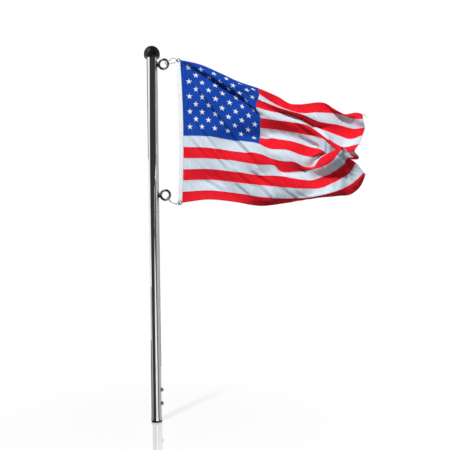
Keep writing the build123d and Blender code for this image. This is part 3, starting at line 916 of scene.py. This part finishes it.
def smooth_line(context, route):
    """Points along the smooth line that a route's points steer."""
    line = bpy.data.curves.new("tie_route", "CURVE")
    line.dimensions = "3D"
    line.resolution_u = 24
    add_line(line, route, 3)
    guide = bpy.data.objects.new("tie_route", line)
    context.collection.objects.link(guide)
    drawn = bpy.data.meshes.new_from_object(guide.evaluated_get(context.evaluated_depsgraph_get()))
    places = np.array([vertex.co for vertex in drawn.vertices])
    bpy.data.objects.remove(guide)
    bpy.data.curves.remove(line)
    bpy.data.meshes.remove(drawn)
    return places


def tube_along(context, name, lines, diameter, cyclic=False):
    """A mesh of round strands, one along each line of points."""
    curve = bpy.data.curves.new(name, "CURVE")
    curve.dimensions = "3D"
    curve.bevel_depth = diameter / 2
    curve.bevel_resolution = 2
    curve.resolution_u = 4 if cyclic else 2
    curve.use_fill_caps = True
    for places in lines:
        add_line(curve, places, 4 if cyclic else 3, cyclic)
    piece = bpy.data.objects.new(name, curve)
    context.collection.objects.link(piece)
    choose(piece)
    bpy.ops.object.convert(target="MESH")
    bpy.ops.object.shade_smooth()
    return context.object


def laid_strands(places, diameter, lay):
    """Three strands twisted round a line of points."""
    strand_offset = 0.26 * diameter
    ways = np.gradient(places, axis=0)
    ways /= np.linalg.norm(ways, axis=-1, keepdims=True)
    steps = np.linalg.norm(np.diff(places, axis=0), axis=-1)
    along = np.concatenate([[0], np.cumsum(steps)])
    side = np.cross(ways[0], (0, 0, 1))
    strands = [[], [], []]
    for place, way, run in zip(places, ways, along):
        side = side - way * (side @ way)
        side = side / np.linalg.norm(side)
        over = np.cross(way, side)
        for number, strand in enumerate(strands):
            turn = 2 * math.pi * (run / lay + number / 3)
            strand.append(place + strand_offset * (math.cos(turn) * side + math.sin(turn) * over))
    return strands


class FLAGPOLE_OT_tie_flag(bpy.types.Operator):
    """Lay the two cords that tie the flag's grommets to the eyes"""

    bl_idname = "flagpole.tie_flag"
    bl_label = "Tie the flag"

    def execute(self, context):
        settings = context.scene.flag_fittings
        diameter = settings.cord_diameter
        finish = cord_finish("tie_cord", settings.cord)
        for name, route, knot_place, node in (
                ("upper_tie_cord", upper_tie_route, upper_knot_place, "upper_tie"),
                ("lower_tie_cord", lower_tie_route, lower_knot_place, "lower_tie")):
            places = smooth_line(context, route)
            strands = laid_strands(places, diameter, settings.cord_lay)
            cord = tube_along(context, name, strands, 0.5 * diameter)
            knot = self.knot(context, name.replace("cord", "knot"), knot_place, diameter)
            for piece in (cord, knot):
                finish.dress(piece)
                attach(piece, "flag")
            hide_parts(node)
        return {"FINISHED"}

    def knot(self, context, name, place, diameter):
        """An overhand knot: one closed line that goes three times over and under itself."""
        loop_radius = 0.00085
        loop_swing = 0.00045
        loop_depth = 0.0006
        steps_round = 24
        places = []
        for number in range(steps_round):
            turn = 2 * math.pi * number / steps_round
            out = loop_radius + loop_swing * math.cos(3 * turn)
            places.append((place[0] + out * math.cos(2 * turn), place[1] + loop_depth * math.sin(3 * turn),
                           place[2] + out * math.sin(2 * turn)))
        return tube_along(context, name, [places], 0.9 * diameter, cyclic=True)


class FLAGPOLE_OT_hang_flag(bpy.types.Operator):
    """Cut the flag's cloth flat, hang it in its folds, hem it and fray its fly end"""

    bl_idname = "flagpole.hang_flag"
    bl_label = "Hang the flag"

    def execute(self, context):
        settings = context.scene.flag_cloth
        points = waving_cloth(settings, context.scene.flag_fittings, context.scene.flag_studio)
        flag = self.cloth(context, settings, points)
        threads = self.threads(context, points)
        flag_finish(settings).dress(flag)
        thread_finish("loose_thread", settings.red).dress(threads)
        for piece in (flag, threads):
            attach(piece, "flag")
        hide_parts("canton", *stripe_nodes)
        return {"FINISHED"}

    def cloth(self, context, settings, points):
        """A flat grid laid into the folds and made thick, most at its hems."""
        rows, columns = points.shape[:2]
        clear_selection()
        bpy.ops.mesh.primitive_grid_add(x_subdivisions=columns - 1, y_subdivisions=rows - 1, size=1)
        flag = context.object
        flag.name = flag.data.name = "flag_cloth"
        flat = np.empty(len(flag.data.vertices) * 3)
        flag.data.vertices.foreach_get("co", flat)
        flat = flat.reshape(-1, 3)
        column = np.rint((flat[:, 0] + 0.5) * (columns - 1)).astype(int)
        row = np.rint((0.5 - flat[:, 1]) * (rows - 1)).astype(int)
        if len(flat) != rows * columns:
            raise RuntimeError("The flat cloth has not the net that its folds need")
        hem = flag.vertex_groups.new(name="hem")
        at_fly = (1 - column / (columns - 1)) * settings.fly_length < fly_hem_width
        at_edge = np.minimum(row, rows - 1 - row) / (rows - 1) * settings.hoist_height < edge_hem_width
        hem.add(np.flatnonzero(at_fly | at_edge).tolist(), 1.0, "REPLACE")
        flag.data.vertices.foreach_set("co", points[row, column].ravel())
        flag.data.update()
        finish_with(flag, "SOLIDIFY", thickness=settings.thickness, offset=0.0, vertex_group="hem",
                    thickness_vertex_group=0.5)
        choose(flag)
        bpy.ops.object.shade_smooth()
        return flag

    def threads(self, context, points):
        """Sewing threads that have worked loose along the fly end."""
        thread_diameter = 0.0005
        sewn_length = 0.004
        curl = 0.0012
        rows = len(points)
        lines = []
        for share, length, drop, turn in loose_threads:
            row = round(share * (rows - 1))
            root = points[row, -1]
            out = points[row, -1] - points[row, -3]
            out = out / np.linalg.norm(out)
            line = [root - sewn_length * out]
            for step in (0, 0.25, 0.5, 0.75, 1):
                bow = curl * math.sin(math.pi * (1.5 * step + turn)) * step
                line.append(root + step * length * out + np.array([0, bow, -drop * step ** 2 + bow]))
            lines.append(line)
        return tube_along(context, "fly_threads", lines, thread_diameter)


class FLAGPOLE_OT_sew_header(bpy.types.Operator):
    """Fold and sew the canvas header down the hoist and press its two eyelets"""

    bl_idname = "flagpole.sew_header"
    bl_label = "Sew the header"

    def execute(self, context):
        settings = context.scene.flag_fittings
        eyelets = [self.eyelet(context, node) for node in grommet_nodes]
        header = self.tape(context, settings)
        brass = brass_finish("plated_brass", settings.brass)
        for node, eyelet in zip(grommet_nodes, eyelets):
            brass.dress(eyelet)
            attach(eyelet, "flag")
            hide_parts(node)
        canvas_finish("header_canvas", settings.canvas, settings.header_bow).dress(header)
        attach(header, "flag")
        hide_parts("flag_header")
        return {"FINISHED"}

    def eyelet(self, context, node):
        """A ring spun from the eyelet's section about the middle of its hole."""
        low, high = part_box(node)
        clear_selection()
        bpy.ops.mesh.primitive_circle_add(vertices=len(eyelet_section), radius=0.003)
        eyelet = context.object
        eyelet.name = eyelet.data.name = node.replace("grommet", "eyelet")
        for vertex, (radius, offset) in zip(eyelet.data.vertices, eyelet_section):
            vertex.co = (radius / 1000, offset / 1000, 0)
        bpy.ops.object.mode_set(mode="EDIT")
        bpy.ops.mesh.select_all(action="SELECT")
        bpy.ops.mesh.spin(steps=48, angle=2 * math.pi, center=(0, 0, 0), axis=(0, 1, 0))
        bpy.ops.mesh.select_all(action="SELECT")
        bpy.ops.mesh.remove_doubles(threshold=0.00001)
        bpy.ops.mesh.normals_make_consistent(inside=False)
        bpy.ops.object.mode_set(mode="OBJECT")
        eyelet.location = (low + high) / 2
        settle(eyelet)
        bpy.ops.object.shade_smooth_by_angle(angle=math.radians(50))
        return eyelet

    def tape(self, context, settings):
        """The folded canvas band, drawn in at its ends, puckered by stitches and holed for the eyelets."""
        pucker_depth = 0.00014
        pucker_length = 0.0061
        hole_radius = 0.0029
        edge_round = 0.0009
        clear_selection()
        bpy.ops.mesh.primitive_grid_add(x_subdivisions=10, y_subdivisions=240, size=1)
        header = context.object
        header.name = header.data.name = "canvas_header"
        for vertex in header.data.vertices:
            height = header_middle + vertex.co.y * header_length
            inward = (0.5 - vertex.co.x) * settings.tape_width
            pucker = pucker_depth * math.sin(2 * math.pi * height / pucker_length + 3 * vertex.co.x)
            vertex.co = (hoist_edge(height, settings.header_bow) - inward, pucker, height)
        finish_with(header, "SOLIDIFY", thickness=settings.tape_thickness, offset=0.0)
        finish_with(header, "BEVEL", width=edge_round, segments=3, limit_method="ANGLE",
                    angle_limit=math.radians(50))
        for node in grommet_nodes:
            low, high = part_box(node)
            clear_selection()
            bpy.ops.mesh.primitive_cylinder_add(
                vertices=48, radius=hole_radius, depth=0.01, location=(low + high) / 2,
                rotation=(math.pi / 2, 0, 0))
            punch = context.object
            finish_with(header, "BOOLEAN", operation="DIFFERENCE", object=punch, solver="EXACT")
            bpy.data.objects.remove(punch)
        choose(header)
        bpy.ops.object.shade_smooth_by_angle(angle=math.radians(40))
        return header


class FLAGPOLE_OT_finish_fittings(bpy.types.Operator):
    """Give the pole, eyes, screws, cap and bush their metal and plastic"""

    bl_idname = "flagpole.finish_fittings"
    bl_label = "Finish the fittings"

    def execute(self, context):
        settings = context.scene.flag_fittings
        tube = steel_finish("polished_tube", settings.steel, roughness=0.03, streak=0.03)
        # Painted shade: the eyes and screws take a darker copy of the polished steel, standing for their dark
        # reflections.
        fittings_painted_dark = steel_finish("polished_fittings", settings.steel_painted_dark, roughness=0.10, streak=0.05)
        dark = steel_finish("dark_inserts", settings.dark_steel, roughness=0.28, streak=0.08)
        black = plastic_finish("moulded_black", settings.black)
        groups = {
            tube: ["pole_tube"],
            fittings_painted_dark: ["upper_eye", "lower_eye", "upper_clamp_screw", "lower_clamp_screw"],
            dark: ["upper_eye_insert", "lower_eye_insert"],
            black: ["top_cap", "socket_bush"],
        }
        for finish, names in groups.items():
            for name in names:
                finish.dress(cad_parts[name])
        return {"FINISHED"}


class FLAGPOLE_OT_set_stage(bpy.types.Operator):
    """Set the floor, pale room, lamps, cards and camera"""

    bl_idname = "flagpole.set_stage"
    bl_label = "Set the stage"

    def execute(self, context):
        settings = context.scene.flag_studio
        context.scene.view_settings.view_transform = "Standard"
        self.floor(settings.floor_gloss, settings.view_turn)
        self.room(context, settings.room_level)
        self.lamp("key_lamp", settings.key_size, settings.key_power)
        self.lamp("fill_lamp", settings.fill_size, settings.fill_power)
        back = self.lamp("back_lamp", settings.back_size, settings.back_power)
        back.data.use_shadow = False
        self.cards(settings.view_turn)
        self.camera(context, settings)
        return {"FINISHED"}

    def floor(self, gloss, view_turn):
        """White all over, with a polished strip in front of the foot that mirrors the pole."""
        clear_selection()
        bpy.ops.mesh.primitive_plane_add(size=14)
        floor = bpy.context.object
        floor.name = "studio_floor"
        pale = Finish("pale_floor")
        across, back = pale.parts(pale.place())[:2]
        far = (across * across + back * back).root().eased(0.05, 0.5)
        toward = across * math.sin(view_turn) - back * math.cos(view_turn)
        sideways = across * math.cos(view_turn) + back * math.sin(view_turn)
        polish = toward.eased(-0.02, 0.0) * (1.0 - toward.eased(0.17, 0.26))
        polish = polish * (1.0 - abs(sideways).eased(0.022, 0.045))
        shade = pale.mixed(pale.ray("Is Diffuse Ray"), (0.86, 0.86, 0.86, 1), (0.25, 0.25, 0.26, 1))
        pale.set(base_color=shade, roughness=0.6, specular_ior_level=0.0)
        matt = Value(pale, pale.surface.outputs[0])
        mirror = pale.node("ShaderNodeBsdfGlossy", None, {"Color": (1, 1, 1, 1), "Roughness": 0.02})
        lit = pale.blended(pale.direct_ray() * (0.8 + 0.2 * far), matt, pale.glow(1.0))
        mirrored = pale.ray("Is Camera Ray") * gloss * (1.0 - far) * polish
        pale.show(pale.blended(mirrored, lit, mirror), "Material Output")
        pale.dress(floor)

    def room(self, context, level):
        """White to the lens and to polished metal, and a dimmer, bluer light on all else."""
        world = bpy.data.worlds.new("pale_room")
        context.scene.world = world
        world.use_nodes = True
        room = Shading(world.node_tree)
        direct = room.direct_ray()
        tint = room.mixed(direct, (0.74, 0.86, 1.0, 1), (1, 1, 1, 1))
        strength = level + (1.0 - level) * direct
        light = room.node("ShaderNodeBackground", None, {"Color": tint, "Strength": strength})
        room.show(light, "World Output")

    def lamp(self, name, size, power):
        """A round lamp that polished metal doesn't mirror."""
        place, aim = lamp_stands[name]
        data = bpy.data.lights.new(name, "AREA")
        data.shape = "DISK"
        data.size = size
        data.energy = power
        lamp = bpy.data.objects.new(name, data)
        lamp.location = place
        lamp.rotation_euler = (Vector(aim) - Vector(place)).to_track_quat("-Z", "Y").to_euler()
        lamp.visible_glossy = False
        bpy.context.collection.objects.link(lamp)
        return lamp

    def cards(self, view_turn):
        """Bends a grid into each card. Only reflections see them, in the polished metal and the black cap."""
        for name, (shade, stands) in tube_cards.items():
            clear_selection()
            bpy.ops.mesh.primitive_grid_add(x_subdivisions=12, y_subdivisions=len(stands) - 1, size=1)
            card = bpy.context.object
            card.name = name
            for vertex in card.data.vertices:
                reach, height, left, right = stands[round((vertex.co.y + 0.5) * (len(stands) - 1))]
                angle = view_turn + math.radians(right + (left - right) * (vertex.co.x + 0.5))
                vertex.co = (math.sin(angle) * reach, -math.cos(angle) * reach, height)
            for seen in ("visible_camera", "visible_diffuse", "visible_shadow", "visible_transmission"):
                setattr(card, seen, False)
            self.paint(name, shade).dress(card)

    def paint(self, name, shade):
        """An even shade on the side that faces the pole, and nothing on the other."""
        paint = Finish(name)
        nothing = paint.node("ShaderNodeBsdfTransparent")
        away = paint.node("ShaderNodeNewGeometry", output="Backfacing")
        paint.show(paint.blended(away, paint.glow(shade), nothing), "Material Output")
        return paint

    def camera(self, context, settings):
        """The lens that took the photograph."""
        eye, forward, right, up = lens_axes(settings)
        data = bpy.data.cameras.new("photo_camera")
        data.sensor_width = 36
        data.lens = settings.focal_pixels / picture_width * data.sensor_width
        data.clip_end = 50
        camera = bpy.data.objects.new("photo_camera", data)
        context.collection.objects.link(camera)
        turned = Matrix((right, up, -forward)).transposed().to_4x4()
        camera.matrix_world = Matrix.Translation(eye) @ turned
        context.scene.camera = camera


class FLAGPOLE_PT_panel(bpy.types.Panel):
    """Settings and steps for dressing the flagpole"""

    bl_idname = "FLAGPOLE_PT_panel"
    bl_label = "Flagpole"
    bl_space_type = "VIEW_3D"
    bl_region_type = "UI"
    bl_category = "Flagpole"

    def draw(self, context):
        layout = self.layout
        for group in (context.scene.flag_cloth, context.scene.flag_fittings, context.scene.flag_studio):
            box = layout.box()
            for name in group.__annotations__:
                box.prop(group, name)
        for step in steps:
            layout.operator(step.bl_idname)


settings_groups = (FlagClothSettings, FlagFittingSettings, FlagStudioSettings)
steps = (FLAGPOLE_OT_tie_flag, FLAGPOLE_OT_hang_flag, FLAGPOLE_OT_sew_header,
         FLAGPOLE_OT_finish_fittings, FLAGPOLE_OT_set_stage)


def register():
    for group in (*settings_groups, *steps, FLAGPOLE_PT_panel):
        bpy.utils.register_class(group)
    bpy.types.Scene.flag_cloth = bpy.props.PointerProperty(type=FlagClothSettings)
    bpy.types.Scene.flag_fittings = bpy.props.PointerProperty(type=FlagFittingSettings)
    bpy.types.Scene.flag_studio = bpy.props.PointerProperty(type=FlagStudioSettings)


def unregister():
    del bpy.types.Scene.flag_studio
    del bpy.types.Scene.flag_fittings
    del bpy.types.Scene.flag_cloth
    for group in reversed((*settings_groups, *steps, FLAGPOLE_PT_panel)):
        bpy.utils.unregister_class(group)


def main():
    register()
    clear_selection()
    bpy.ops.flagpole.tie_flag()
    bpy.ops.flagpole.hang_flag()
    bpy.ops.flagpole.sew_header()
    bpy.ops.flagpole.finish_fittings()
    bpy.ops.flagpole.set_stage()


if __name__ == "__main__":
    main()
